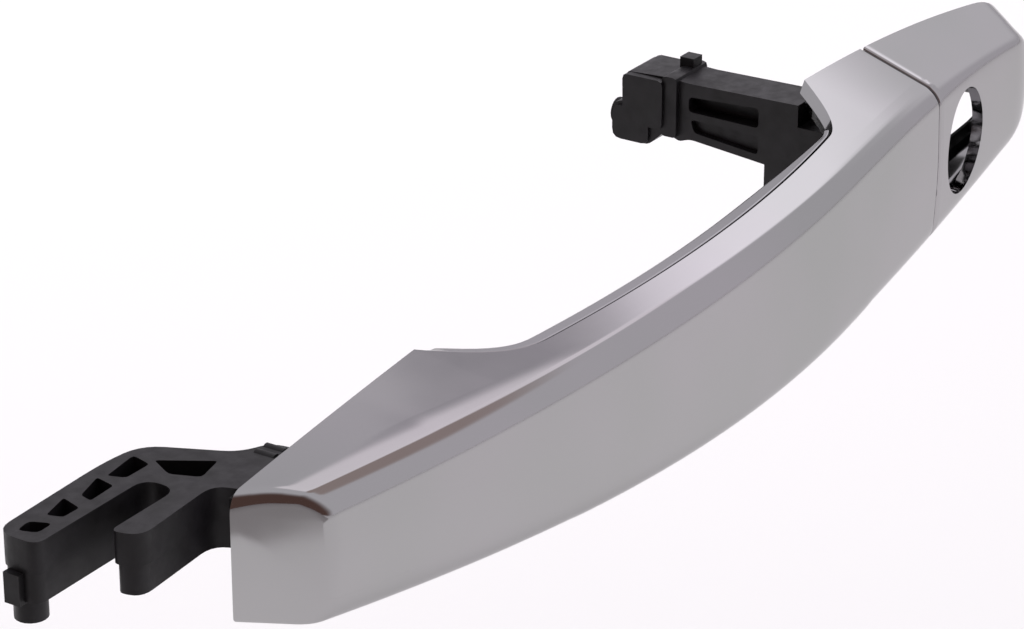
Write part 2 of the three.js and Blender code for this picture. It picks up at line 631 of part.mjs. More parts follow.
const capShell = () => withBosses(capSkin().subtract(capCavity()), CAP_SCREWS, capBossEnd)
  .subtract(keyholeTool(KEYHOLE_RADIUS));

const EAR_RADIUS = 4;
const EAR_THICKNESS = 1.6;
const RIM_FRONT = -6;
const RIM_WIDTH = 1.8;
const RIM_GAP = [13, 42];        // the frame's lower rail is left out here, to clear the lock cylinder
const DOOR_BOSS = [46.5, -3];
const DOOR_BOSS_RADIUS = 4.2;
const DOOR_BOSS_END = 9;
const INSERT_RADIUS = 2.6;

const bracketFill = (inset, from, to) => filler(
  [...steps(from, TIP_START, 8), ...steps(TIP_START + 2, to, 5)], inset, () => BACK);

const bracketEar = ([x, z]) => {
  const y = capBossEnd(x) + FIT;
  return rodAlongY(x, z, y, y + EAR_THICKNESS, EAR_RADIUS)
    .add(box(x - 2.4, x + 2.4, y, y + EAR_THICKNESS, z, FAR))
    .intersect(bracketFill(WALL + 2 * FIT, CAP_FRONT + 3.2, 52));
};

const screwClearance = ([x, z]) => {
  const y = capBossEnd(x) + FIT;
  return rodAlongY(x, z, -FAR, FAR, SCREW_SHANK + FIT)
    .add(rodAlongY(x, z, y + EAR_THICKNESS, FAR, SCREW_HEAD + FIT))
    .add(rodAlongY(x, z, -FAR, y, BOSS_RADIUS + FIT));
};

const snapLeg = (z) => {
  const root = CAP_FRONT + 4.9;
  return box(root, root + 1.4, -3, 7, z - 2.5, z + 2.5).add(box(root, root + 2.8, 5.4, 7, z - 2.5, z + 2.5));
};

// Frame inside the cap's back edge, with ears for its screws, a snap leg, and the boss for the door screw.
const capBracket = () => {
  const rim = bracketFill(WALL + 2 * FIT, CAP_FRONT + 3.2, 52)
    .intersect(box(-FAR, FAR, RIM_FRONT, BACK, -FAR, FAR))
    .subtract(filler(steps(CAP_FRONT + 5, 50, 14), WALL + 2 * FIT + RIM_WIDTH, () => 4))
    .subtract(box(RIM_GAP[0], RIM_GAP[1], -FAR, FAR, -FAR, -6));
  const [bossX, bossZ] = DOOR_BOSS;
  const doorBoss = rodAlongY(bossX, bossZ, -5, DOOR_BOSS_END, DOOR_BOSS_RADIUS, 28)
    .add(box(bossX - 1, bossX + 1, -4.6, BACK, bossZ - 7.6, bossZ + 7.6));
  const bore = rodAlongY(bossX, bossZ, 2, FAR, INSERT_RADIUS + FIT, 28);
  const pieces = [...CAP_SCREWS.map(bracketEar), doorBoss, snapLeg(0)];
  const whole = pieces.reduce((sum, piece) => sum.add(piece), rim);
  return [...CAP_SCREWS.map(screwClearance), bore].reduce((sum, hole) => sum.subtract(hole), whole);
};

const capInsert = () => {
  const [x, z] = DOOR_BOSS;
  return rodAlongY(x, z, 2 + FIT, DOOR_BOSS_END + 0.4, INSERT_RADIUS, 28)
    .subtract(rodAlongY(x, z, 3.6, FAR, 1.6, 20));
};

const capScrew = (index) => {
  const [x, z] = CAP_SCREWS[index];
  return screw(x, z, capBossEnd(x) + EAR_THICKNESS + 2 * FIT, 6.4);
};

// ---- assembly -----------------------------------------------------------------------------------

const handle = new THREE.Group();

const addPiece = (name, solid, look) => {
  const geometry = geometryOfSolid(solid);
  geometry.computeVertexNormals();
  const mesh = new THREE.Mesh(geometry, new THREE.MeshStandardMaterial(look));
  mesh.name = name;
  handle.add(mesh);
};

addPiece('strap_shell', strapShell(), CHROME);
addPiece('grip_liner', gripLiner(), CHROME);
addPiece('grip_beam', gripBeam(), NYLON);
addPiece('hook_arm', hookArm(), NYLON);
addPiece('rear_leg', rearLeg().subtract(bumperHole()), NYLON);
addPiece('leg_bumper', legBumper(), RUBBER);
addPiece('strap_front_gasket', strapFrontGasket(), RUBBER);
addPiece('strap_rear_gasket', strapRearGasket(), RUBBER);
addPiece('strap_front_screw', strapScrew(0), STEEL);
addPiece('strap_rear_screw', strapScrew(1), STEEL);
BEAM_SCREWS.forEach((place, index) => addPiece(`beam_screw_${index + 1}`, beamScrew(place), STEEL));
addPiece('cap_shell', capShell(), CHROME);
addPiece('cap_bracket', capBracket(), NYLON);
addPiece('cap_gasket', capGasket(), RUBBER);
CAP_SCREWS.forEach((place, index) => addPiece(`cap_screw_${index + 1}`, capScrew(index), STEEL));
addPiece('cap_insert', capInsert(), BRASS);

export default handle;
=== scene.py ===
"""Looks of the outside door handle around its frame: chromed shells, moulded plastic, rubber and screws."""
import math

import bmesh
import bpy
from mathutils import Matrix, Vector


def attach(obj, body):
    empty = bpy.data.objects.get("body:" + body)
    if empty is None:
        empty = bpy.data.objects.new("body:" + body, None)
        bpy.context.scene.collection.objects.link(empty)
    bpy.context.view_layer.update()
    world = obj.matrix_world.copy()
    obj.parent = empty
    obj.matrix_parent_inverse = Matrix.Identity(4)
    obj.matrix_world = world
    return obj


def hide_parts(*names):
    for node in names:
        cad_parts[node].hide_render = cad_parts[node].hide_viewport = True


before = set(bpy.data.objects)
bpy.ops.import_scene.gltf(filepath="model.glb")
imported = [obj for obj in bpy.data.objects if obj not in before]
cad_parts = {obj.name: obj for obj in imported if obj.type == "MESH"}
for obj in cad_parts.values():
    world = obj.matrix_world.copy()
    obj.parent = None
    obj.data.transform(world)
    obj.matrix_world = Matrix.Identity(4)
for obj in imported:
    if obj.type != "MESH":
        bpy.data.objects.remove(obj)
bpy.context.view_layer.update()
MM = 0.001

# ---- the handle's character curves, in millimetres, as the frame is built --------------------------

BACK = -1.0
WALL = 2.0
STRAP_FRONT, STRAP_REAR = -191.0, -3.9
CAP_FRONT, CAP_REAR = -3.1, 57.4
FRONT_SLANT, SLANT_RUN = 0.5, 30.0
BOW_DEPTH, BOW_CREST, BOW_CURVE, BOW_END = 26.4, -93.0, 1.5e-3, -45.0
TOP_CREST, TOP_HEIGHT, TOP_FALL_FRONT, TOP_FALL_REAR = -25.0, 17.8, 3.8e-4, 1.2e-3
RIDGE_CREST, RIDGE_DROP, RIDGE_CLOSING, RIDGE_RADIUS = -30.0, 7.3, 1.85e-4, 0.8
CHAMFER_DROP, CHAMFER_FRONT, CHAMFER_REAR, CREASE_RADIUS = 2.7, 3.9, 2.5, 0.5
CHAMFER_BULGE, CHAMFER_SOFTNESS = 0.35, 1.6
SHOULDER_END, SHOULDER_DEPTH, SHOULDER_RAISE = -128.0, 5.0, 0.3
CROWN = 0.5
BOTTOM_CREST, BOTTOM_DEPTH, BOTTOM_RISE, BOTTOM_SPAN = -30.0, 18.05, 5.5, 160.0
BOTTOM_RADIUS, BOTTOM_FALL = 5.0, 0.7
END_ROUNDING, GAP_ROUNDING = 1.6, 0.5
END_DROP, END_RUN = 2.2, 2.6
GRIP_FRONT, GRIP_REAR = -144.9, -24.8
GRIP_DEPTH, GRIP_CREST, GRIP_CURVE = 18.1, -88.0, 1.8e-3
GRIP_FRONT_CORNER, GRIP_REAR_CORNER = 16.0, 14.0
TIP_START, TIP_Z, TIP_POWER = 40.0, -3.0, 2.8
TIP_STATIONS, TIP_REMAINDER, TIP_WALL = 40, 0.15, 3.2
KEYHOLE, KEYHOLE_RADIUS = Vector((11.0, -14.5, -2.2)), 9.8
KEYHOLE_AXIS = Vector((0.2, -0.96, -0.12)).normalized()
LINER_FRONT, LINER_REAR = GRIP_FRONT + 1.5, GRIP_REAR - 11.5
LINER_SEAM, LINER_DEPTH, LINER_SETBACK = 0.6, 3.7, 0.3
THINNING_START, THINNING_LOSS = -75.0, 2.0
SECTION_STEPS = 12
FLANGE_RUN, FLANGE_HEIGHT, FLANGE_THICKNESS = 13, 5.4, 1.5
BOSS_RADIUS, BORE_RADIUS, BORE_FLOOR = 3.4, 1.8, 0.6
BOSS_SIDES, BOSS_ROUNDING = 40, 0.3
RIM_MERGE = 0.15 * MM
STRAP_SCREWS, STRAP_BOSS_END = ((-160.0, -1.0), (-14.0, 0.0)), -8.0
BEAM_SCREWS, BEAM_BOSS_RISE = ((-118.0, -2.0), (-66.0, -2.0)), 4.4
CAP_SCREWS, CAP_BOSS_END, CAP_BOSS_RISE = ((2.6, 9.2), (36.0, 3.0)), -6.4, 5.6


def clamp01(value):
    return min(max(value, 0.0), 1.0)


def bow_y(x):
    curved = min(x, BOW_END) - BOW_CREST
    straight = max(x - BOW_END, 0.0)
    return -BOW_DEPTH + BOW_CURVE * curved**2 + 2 * BOW_CURVE * (BOW_END - BOW_CREST) * straight


def top_z(x):
    fall = TOP_FALL_FRONT if x < TOP_CREST else TOP_FALL_REAR
    return TOP_HEIGHT - fall * (x - TOP_CREST) ** 2


def ridge_drop(x):
    return RIDGE_DROP - RIDGE_CLOSING * min(x - RIDGE_CREST, 0.0) ** 2


def chamfer_depth(x):
    along = (min(x, -5.0) - STRAP_FRONT - 5) / (-STRAP_FRONT - 10)
    return CHAMFER_FRONT + (CHAMFER_REAR - CHAMFER_FRONT) * along


def shoulder(x):
    """Share of the facet's soft shoulder next to the crease: full at the front end, gone by mid-length."""
    return clamp01((SHOULDER_END - x) / (SHOULDER_END - STRAP_FRONT))


def bottom_z(x):
    rise = BOTTOM_RISE * (1.0 if x < BOTTOM_CREST else 2.25)
    return -BOTTOM_DEPTH + rise * ((x - BOTTOM_CREST) / BOTTOM_SPAN) ** 2


def grip_floor_y(x):
    return -GRIP_DEPTH + GRIP_CURVE * (x - GRIP_CREST) ** 2


def grip_y(x):
    opened = 1 - (1 - clamp01((x - GRIP_FRONT) / GRIP_FRONT_CORNER)) ** 2.6
    closed = 1 - (1 - clamp01((GRIP_REAR - x) / GRIP_REAR_CORNER)) ** 2
    return BACK + (grip_floor_y(x) - BACK) * opened * closed


def tip_scale(x):
    along = clamp01((x - TIP_START) / (CAP_REAR - TIP_START))
    return math.sqrt(max(1 - along**TIP_POWER, 0.0))


def slant_at(x):
    return FRONT_SLANT * clamp01(1 - (x - STRAP_FRONT) / SLANT_RUN)


def outer_station(x, slant):
    """Station at which a plane slanted from x on the door side meets the outer face."""
    station = x
    for _ in range(4):
        station = x + slant * (BACK - bow_y(station))
    return station


def section_corners(x, inset, back_y, drop=0.0):
    """Corners (y, z, radius) from the top back one round to the facet's shoulder. Drop lowers the top rim."""
    scale = tip_scale(x)
    outer = bow_y(x) + inset
    top = top_z(x) - inset - drop
    ridge = top_z(x) - ridge_drop(x)
    crease_y = bow_y(x) + chamfer_depth(x) + 0.43 * inset
    crease = ridge + CHAMFER_DROP - 0.93 * inset - 0.4 * drop
    ridge -= 0.52 * inset + 0.2 * drop
    bottom = bottom_z(x) + inset
    slope = (top - crease) / (BACK - crease_y)
    soft = max(0.0, x) * 0.12
    run = SHOULDER_DEPTH * (0.3 + 0.7 * shoulder(x))
    corners = [
        (back_y, crease + slope * (back_y - crease_y), 0),
        (back_y, bottom - BOTTOM_FALL, 0),
        (outer + 0.3, bottom, BOTTOM_RADIUS),
        (outer - CROWN, (ridge + bottom) / 2, 4 * BOTTOM_RADIUS),
        (outer, ridge, RIDGE_RADIUS + soft),
        ((outer + crease_y) / 2 - 0.6 * CHAMFER_BULGE, (ridge + crease) / 2 + 0.8 * CHAMFER_BULGE,
         CHAMFER_SOFTNESS + soft),
        (crease_y, crease, CREASE_RADIUS + soft),
        (crease_y + run, crease + slope * run + SHOULDER_RAISE * shoulder(x), 0.5 * run),
    ]
    return [(BACK + (y - BACK) * scale, TIP_Z + (z - TIP_Z) * scale, r * scale) for y, z, r in corners]


def rounded_outline(corners, steps):
    """The closed outline through the corners, each rounded by a curve of the given number of steps."""
    points = []
    for index, (a, b, radius) in enumerate(corners):
        corner = Vector((a, b))
        if radius == 0:
            points.append(corner)
            continue
        before = Vector(corners[index - 1][:2])
        after = Vector(corners[(index + 1) % len(corners)][:2])
        start = corner.lerp(before, min(radius / (corner - before).length, 0.5))
        end = corner.lerp(after, min(radius / (corner - after).length, 0.5))
        for step in range(steps + 1):
            t = step / steps
            points.append(start * (1 - t) ** 2 + corner * 2 * t * (1 - t) + end * t**2)
    return points


def section_ring(x, inset, back_y, slant=0.0, drop=0.0):
    """The section at x as points from the bottom back corner round the outside to the top back corner."""
    behind = section_corners(x, inset, back_y, drop)[:2]
    outside = section_corners(outer_station(x, slant), inset, back_y, drop)[2:]
    outline = rounded_outline(behind + outside, SECTION_STEPS)
    ordered = outline[1:] + outline[:1]
    return [Vector((x + slant * (BACK - p.x), p.x, p.y)) for p in ordered]


def spread(start, end, count):
    return [start + (end - start) * i / count for i in range(count + 1)]


def rim_inset(distance, radius):
    """How far a rim rounded by the radius lies inside the skin, at this distance from the end."""
    return 0.0 if distance >= radius else radius - math.sqrt(radius**2 - (radius - distance) ** 2)


def rim_steps(radius, count=6):
    """Distances from an end that follow the rounding of its rim evenly."""
    return [radius * (1 - math.cos(math.pi / 2 * i / count)) for i in range(count + 1)]


# ---- meshes ----------------------------------------------------------------------------------------


def add_object(name, bm, material, sharp=math.radians(38)):
    """Links a bmesh in millimetres as an object in metres. Edges sharper than the angle stay sharp."""
    bmesh.ops.scale(bm, vec=(MM, MM, MM), verts=bm.verts)
    bmesh.ops.recalc_face_normals(bm, faces=bm.faces)
    for edge in bm.edges:
        edge.smooth = len(edge.link_faces) == 2 and edge.calc_face_angle(0) < sharp
    for face in bm.faces:
        face.smooth = True
    mesh = bpy.data.meshes.new(name)
    bm.to_mesh(mesh)
    bm.free()
    mesh.materials.append(material)
    obj = bpy.data.objects.new(name, mesh)
    bpy.context.scene.collection.objects.link(obj)
    return obj


def apply_modifiers(obj):
    bpy.context.view_layer.update()
    evaluated = obj.evaluated_get(bpy.context.evaluated_depsgraph_get())
    mesh = bpy.data.meshes.new_from_object(evaluated)
    obj.modifiers.clear()
    obj.data = mesh


def add_grid(bm, rings):
    """Quads between rings of points. Returns the rows of vertices."""
    rows = [[bm.verts.new(p) for p in ring] for ring in rings]
    for row, following in zip(rows, rows[1:]):
        for i in range(len(row) - 1):
            bm.faces.new((row[i], row[i + 1], following[i + 1], following[i]))
    return rows


def rim_loop(rows):
    """Vertices along the open edge of a bathtub skin, once round."""
    return [row[-1] for row in rows] + [row[0] for row in reversed(rows)]


def shell_mesh(outer_rings, inner_rings):
    """A thin shell, open at the back: outer and inner skins with end walls, joined along the back edges."""
    bm = bmesh.new()
    outer = add_grid(bm, outer_rings)
    inner = add_grid(bm, inner_rings)
    for rows in (outer, inner):
        for end in (rows[0], rows[-1]):
            bm.faces.new(end)
    outer_rim, inner_rim = rim_loop(outer), rim_loop(inner)
    for i in range(len(outer_rim)):
        j = (i + 1) % len(outer_rim)
        bm.faces.new((outer_rim[i], outer_rim[j], inner_rim[j], inner_rim[i]))
    return bm


def wall_y(x, z):
    """Depth at which the middle of the shell's wall lies at height z, above the middle of the face."""
    face = section_corners(x, 0.6 * WALL, BACK)
    line = [(corner[1], corner[0]) for corner in (*face[3:], face[0])]
    for (z0, y0), (z1, y1) in zip(line, line[1:]):
        if z0 <= z <= z1:
            return y0 + (y1 - y0) * (z - z0) / (z1 - z0)
    return line[0][1]


def add_boss(bm, x, z, end_y):
    """A screw boss that stands up inside a shell, with a blind bore."""
    turns = [2 * math.pi * i / BOSS_SIDES for i in range(BOSS_SIDES)]
    foot = [max(wall_y(x + BOSS_RADIUS * math.cos(a), z + BOSS_RADIUS * math.sin(a)), bow_y(x) + WALL / 2)
            for a in turns]
    rim = [end_y - BOSS_ROUNDING] * BOSS_SIDES
    top = [end_y] * BOSS_SIDES
    profile = (
        (BOSS_RADIUS, foot), (BOSS_RADIUS, rim), (BOSS_RADIUS - BOSS_ROUNDING, top),
        (BORE_RADIUS + BOSS_ROUNDING, top), (BORE_RADIUS, rim),
        (BORE_RADIUS, [max(foot) + BORE_FLOOR] * BOSS_SIDES),
    )
    rows = [[bm.verts.new((x + r * math.cos(a), y, z + r * math.sin(a))) for a, y in zip(turns, depths)]
            for r, depths in profile]
    for row, following in zip(rows, rows[1:]):
        for i in range(len(turns)):
            bm.faces.new((row[i - 1], row[i], following[i], following[i - 1]))
    bm.faces.new(rows[-1])


def bar_mesh(rings):
    """A closed bar through closed rings of points, with flat ends."""
    bm = bmesh.new()
    rows = add_grid(bm, [ring + ring[:1] for ring in rings])
    bmesh.ops.remove_doubles(bm, verts=bm.verts, dist=1e-6)
    for end in (rows[0], rows[-1]):
        bm.faces.new([v for v in end[:-1] if v.is_valid])
    return bm


def bevel(obj, width_mm, segments=2, angle=40):
    modifier = obj.modifiers.new("bevel", "BEVEL")
    modifier.width = width_mm * MM
    modifier.segments = segments
    modifier.limit_method = "ANGLE"
    modifier.angle_limit = math.radians(angle)
    modifier.harden_normals = False
    modifier.use_clamp_overlap = True


# ---- materials -------------------------------------------------------------------------------------


class Finish:
    """A node material around one Principled shader, with object-space noise for its variation."""

    def __init__(self, name, color, metallic, roughness):
        self.material = bpy.data.materials.new(name)
        self.material.use_nodes = True
        self.nodes = self.material.node_tree.nodes
        self.links = self.material.node_tree.links
        self.shader = self.nodes["Principled BSDF"]
        self.shader.inputs["Metallic"].default_value = metallic
        self.shader.inputs["Roughness"].default_value = roughness
        self.shader.inputs["Base Color"].default_value = (*color, 1)
        self.shader.inputs["Specular IOR Level"].default_value = 0.5 if metallic else 0.3
        self.where = self.nodes.new("ShaderNodeTexCoord").outputs["Object"]
        self.height = None

    def noise(self, scale, detail=3.0, stretch=None):
        texture = self.nodes.new("ShaderNodeTexNoise")
        texture.inputs["Scale"].default_value = scale
        texture.inputs["Detail"].default_value = detail
        source = self.where
        if stretch:
            mapping = self.nodes.new("ShaderNodeMapping")
            mapping.inputs["Scale"].default_value = stretch
            self.links.new(source, mapping.inputs["Vector"])
            source = mapping.outputs["Vector"]
        self.links.new(source, texture.inputs["Vector"])
        return texture.outputs["Fac"]

    def color_between(self, factor, low, high, start=0.35, end=0.65):
        ramp = self.nodes.new("ShaderNodeValToRGB")
        ramp.color_ramp.elements[0].position = start
        ramp.color_ramp.elements[1].position = end
        ramp.color_ramp.elements[0].color = (*low, 1)
        ramp.color_ramp.elements[1].color = (*high, 1)
        self.links.new(factor, ramp.inputs["Fac"])
        self.links.new(ramp.outputs["Color"], self.shader.inputs["Base Color"])

    def roughness_between(self, factor, low, high):
        scale = self.nodes.new("ShaderNodeMapRange")
        scale.inputs["From Min"].default_value = 0.3
        scale.inputs["From Max"].default_value = 0.7
        scale.inputs["To Min"].default_value = low
        scale.inputs["To Max"].default_value = high
        self.links.new(factor, scale.inputs["Value"])
        self.links.new(scale.outputs["Result"], self.shader.inputs["Roughness"])

    def bump(self, factor, strength, depth_mm):
        node = self.nodes.new("ShaderNodeBump")
        node.inputs["Strength"].default_value = strength
        node.inputs["Distance"].default_value = depth_mm * MM
        self.links.new(factor, node.inputs["Height"])
        if self.height:
            self.links.new(self.height, node.inputs["Normal"])
        self.height = node.outputs["Normal"]
        self.links.new(self.height, self.shader.inputs["Normal"])


def chrome(name, low, high, roughness):
    finish = Finish(name, high, 1.0, roughness)
    finish.shader.inputs["Specular Tint"].default_value = (0.72, 0.72, 0.72, 1)
    finish.color_between(finish.noise(22, 2.0), low, high)
    finish.roughness_between(finish.noise(55, 4.0), roughness * 0.7, roughness * 1.5)
    finish.bump(finish.noise(90, 1.0), 0.25, 0.02)
    finish.bump(finish.noise(900, 2.0), 0.05, 0.004)
    return finish.material


def moulded(name, low, high, roughness, grain=1400):
    finish = Finish(name, high, 0.0, roughness)
    finish.color_between(finish.noise(160, 4.0), low, high)
    finish.roughness_between(finish.noise(420, 3.0), roughness * 0.8, roughness * 1.25)
    finish.bump(finish.noise(260, 3.0, (1, 1, 0.35)), 0.35, 0.06)
    finish.bump(finish.noise(grain, 2.0), 0.35, 0.03)
    return finish.material


def plated(name, low, high, roughness):
    finish = Finish(name, high, 1.0, roughness)
    finish.color_between(finish.noise(500, 4.0), low, high)
    finish.roughness_between(finish.noise(900, 3.0), roughness * 0.8, roughness * 1.3)
    finish.bump(finish.noise(1600, 2.0, (1, 4, 1)), 0.2, 0.01)
    return finish.material


CHROME_OUTER = chrome("chrome_outer", (0.42, 0.425, 0.42), (0.45, 0.44, 0.45), 0.08)
CHROME_INNER = chrome("chrome_inner", (0.43, 0.43, 0.435), (0.48, 0.47, 0.485), 0.12)
BLACK_NYLON = moulded("black_nylon", (0.007, 0.0065, 0.007), (0.013, 0.012, 0.014), 0.42)
BUMPER_RUBBER = moulded("bumper_rubber", (0.010, 0.010, 0.010), (0.016, 0.016, 0.017), 0.75, 2200)
SEAL_RUBBER = moulded("seal_rubber", (0.008, 0.008, 0.008), (0.014, 0.014, 0.014), 0.8, 2600)
SCREW_STEEL = plated("screw_steel", (0.38, 0.38, 0.39), (0.52, 0.52, 0.54), 0.3)
INSERT_BRASS = plated("insert_brass", (0.5, 0.36, 0.14), (0.66, 0.5, 0.24), 0.28)


def place(obj, body, slot, *nodes):
    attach(obj, body)
    if nodes:
        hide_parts(*nodes)
    return obj


# ---- strap -----------------------------------------------------------------------------------------


def strap_stations():
    grip = spread(GRIP_FRONT, GRIP_REAR, 110)
    return (
        [STRAP_FRONT + d for d in rim_steps(END_RUN, 12)]
        + spread(STRAP_FRONT + 3.5, GRIP_FRONT - 1, 34)
        + [GRIP_FRONT - 0.3]
        + grip
        + [GRIP_REAR + 0.3]
        + spread(GRIP_REAR + 1.5, STRAP_REAR - 1.2, 14)
        + [STRAP_REAR - d for d in reversed(rim_steps(GAP_ROUNDING))]
    )


def skin_ring(x, inset):
    front = rim_inset(x - STRAP_FRONT, END_ROUNDING)
    rear = rim_inset(STRAP_REAR - x, GAP_ROUNDING)
    drop = END_DROP * rim_inset(x - STRAP_FRONT, END_RUN) / END_RUN
    return section_ring(x, inset + 0.6 * front + rear, grip_y(x), slant_at(x), drop)


def strap_shell():
    stations = strap_stations()
    low, high = STRAP_FRONT + 1.2 * WALL, STRAP_REAR - WALL
    share = (high - low) / (STRAP_REAR - STRAP_FRONT)
    outer = [skin_ring(x, 0.0) for x in stations]
    inner = []
    for x in stations:
        inside = low + (x - STRAP_FRONT) * share
        inner.append(section_ring(inside, WALL, grip_y(x), slant_at(inside)))
    bm = shell_mesh(outer, inner)
    for x, z in STRAP_SCREWS:
        add_boss(bm, x, z, STRAP_BOSS_END)
    for x, z in BEAM_SCREWS:
        add_boss(bm, x, z, bow_y(x) + BEAM_BOSS_RISE)
    obj = add_object("chrome_strap_shell", bm, CHROME_OUTER)
    bevel(obj, 0.3, 3, 50)
    apply_modifiers(obj)
    return obj


def corner_flange():
    """The shell's return flange around the rear corner of the finger opening."""
    rings = []
    for x in spread(GRIP_REAR - FLANGE_RUN, GRIP_REAR - 0.15, 60):
        ahead = grip_y(x + 0.05) - grip_y(x - 0.05)
        normal = Vector((ahead, -0.1)).normalized()
        y = grip_y(x)
        z = section_corners(x, 0.0, y)[0][1] - 0.15
        back = Vector((x, y)) + normal * 0.1
        front = Vector((x, y)) + normal * FLANGE_THICKNESS
        rings.append([
            Vector((back.x, back.y, z)), Vector((front.x, front.y, z - 0.6)),
            Vector((front.x, front.y, z - FLANGE_HEIGHT)), Vector((back.x, back.y, z - FLANGE_HEIGHT)),
        ])
    obj = add_object("chrome_corner_flange", bar_mesh(rings), CHROME_OUTER)
    bevel(obj, 0.25, 2, 50)
    apply_modifiers(obj)
    return obj


def liner_depth(x):
    return LINER_DEPTH - THINNING_LOSS * max(0.0, (x - THINNING_START) / (LINER_REAR - THINNING_START)) ** 2


def liner_corners(x):
    lean = math.hypot(1, (grip_y(x + 0.1) - grip_y(x - 0.1)) / 0.2)
    seam = grip_y(x) + LINER_SEAM * lean
    back = min(grip_y(x) + liner_depth(x) * lean, BACK - 0.4)
    top, bottom = (corner[1] for corner in section_corners(x, LINER_SETBACK, seam)[:2])
    return [
        (seam, top, 0.3), (back, top - 0.4, 1.3), (back + 0.4, (top + bottom) / 2, 9),
        (back, bottom + 0.4, 1.3), (seam, bottom, 0.3),
    ]


def grip_liner():
    rings = [[Vector((x, p.x, p.y)) for p in rounded_outline(liner_corners(x), 8)]
             for x in spread(LINER_FRONT, LINER_REAR, 90)]
    obj = add_object("chrome_grip_liner", bar_mesh(rings), CHROME_INNER)
    bevel(obj, 0.3, 2, 50)
    apply_modifiers(obj)
    return obj


# ---- cap -------------------------------------------------------------------------------------------


def cap_stations():
    """Stations of the cap's skin, closer and closer together towards the tip and just short of its end."""
    last = TIP_STATIONS + TIP_REMAINDER
    tip = [CAP_REAR - (CAP_REAR - TIP_START) * (1 - i / last) ** 2 for i in range(1, TIP_STATIONS + 1)]
    return [CAP_FRONT + d for d in rim_steps(GAP_ROUNDING)] + spread(CAP_FRONT + 2, TIP_START, 26) + tip


def drill(obj, centre, axis, radius, reach, sides=96):
    """Cuts a round hole through the object, and merges the specks of edge that the cut leaves."""
    bm = bmesh.new()
    bmesh.ops.create_cone(
        bm, cap_ends=True, segments=sides, radius1=radius, radius2=radius, depth=reach,
        matrix=Matrix.Translation(centre) @ axis.to_track_quat("Z", "Y").to_matrix().to_4x4())
    tool = add_object("tool", bm, obj.data.materials[0])
    modifier = obj.modifiers.new("hole", "BOOLEAN")
    modifier.object = tool
    modifier.operation = "DIFFERENCE"
    modifier.solver = "EXACT"
    apply_modifiers(obj)
    bpy.data.objects.remove(tool)
    cut = bmesh.new()
    cut.from_mesh(obj.data)
    bmesh.ops.remove_doubles(cut, verts=cut.verts, dist=RIM_MERGE)
    cut.to_mesh(obj.data)
    cut.free()


def cap_shell():
    stations = cap_stations()
    low, high = CAP_FRONT + WALL, CAP_REAR - TIP_WALL
    share = (high - low) / (stations[-1] - CAP_FRONT)
    outer = [section_ring(x, rim_inset(x - CAP_FRONT, GAP_ROUNDING), BACK) for x in stations]
    inner = [section_ring(low + (x - CAP_FRONT) * share, WALL, BACK) for x in stations]
    bm = shell_mesh(outer, inner)
    for x, z in CAP_SCREWS:
        add_boss(bm, x, z, max(CAP_BOSS_END, bow_y(x) + CAP_BOSS_RISE))
    obj = add_object("chrome_cap_shell", bm, CHROME_OUTER)
    bevel(obj, 0.3, 3, 50)
    apply_modifiers(obj)
    drill(obj, KEYHOLE, KEYHOLE_AXIS, KEYHOLE_RADIUS, 12)
    obj.data.set_sharp_from_angle(angle=math.radians(40))
    return obj


# ---- pieces carried over from the frame, with softened edges -----------------------------------------


def softened(node, width_mm, material, body, slot):
    """A copy of a CAD node with merged flats and rounded edges, which stands in for the node."""
    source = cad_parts[node]
    bm = bmesh.new()
    bm.from_mesh(source.data)
    bmesh.ops.remove_doubles(bm, verts=bm.verts, dist=2e-6)
    bmesh.ops.dissolve_limit(bm, angle_limit=math.radians(1.5), verts=bm.verts, edges=bm.edges)
    bmesh.ops.scale(bm, vec=(1 / MM, 1 / MM, 1 / MM), verts=bm.verts)
    obj = add_object(f"{node}_fine", bm, material)
    bevel(obj, width_mm, 2, 32)
    apply_modifiers(obj)
    for polygon in obj.data.polygons:
        polygon.use_smooth = True
    return place(obj, body, slot, node)


# ---- assembly --------------------------------------------------------------------------------------

place(strap_shell(), "strap", "chrome_outer", "strap_shell")
place(corner_flange(), "strap", "chrome_outer")
place(grip_liner(), "strap", "chrome_inner", "grip_liner")
place(cap_shell(), "cap", "chrome_outer", "cap_shell")

softened("hook_arm", 0.35, BLACK_NYLON, "strap", "black_nylon")
softened("rear_leg", 0.35, BLACK_NYLON, "strap", "black_nylon")
softened("grip_beam", 0.3, BLACK_NYLON, "strap", "black_nylon")
softened("cap_bracket", 0.25, BLACK_NYLON, "cap", "black_nylon")
softened("leg_bumper", 0.25, BUMPER_RUBBER, "strap", "bumper_rubber")
for gasket, body in (("strap_front_gasket", "strap"), ("strap_rear_gasket", "strap"), ("cap_gasket", "cap")):
    softened(gasket, 0.12, SEAL_RUBBER, body, "seal_rubber")
for screw, body in (
    ("strap_front_screw", "strap"), ("strap_rear_screw", "strap"), ("beam_screw_1", "strap"),
    ("beam_screw_2", "strap"), ("cap_screw_1", "cap"), ("cap_screw_2", "cap"),
):
    softened(screw, 0.15, SCREW_STEEL, body, "screw_steel")
softened("cap_insert", 0.15, INSERT_BRASS, "cap", "insert_brass")

# ---- floor, light and camera -------------------------------------------------------------------------

FLOOR_Z = -0.14
FLOOR_SIZE = 6.0
FLAG_EDGE = -458.0

SKY_BASE = (0.72, 0.69, 0.74)
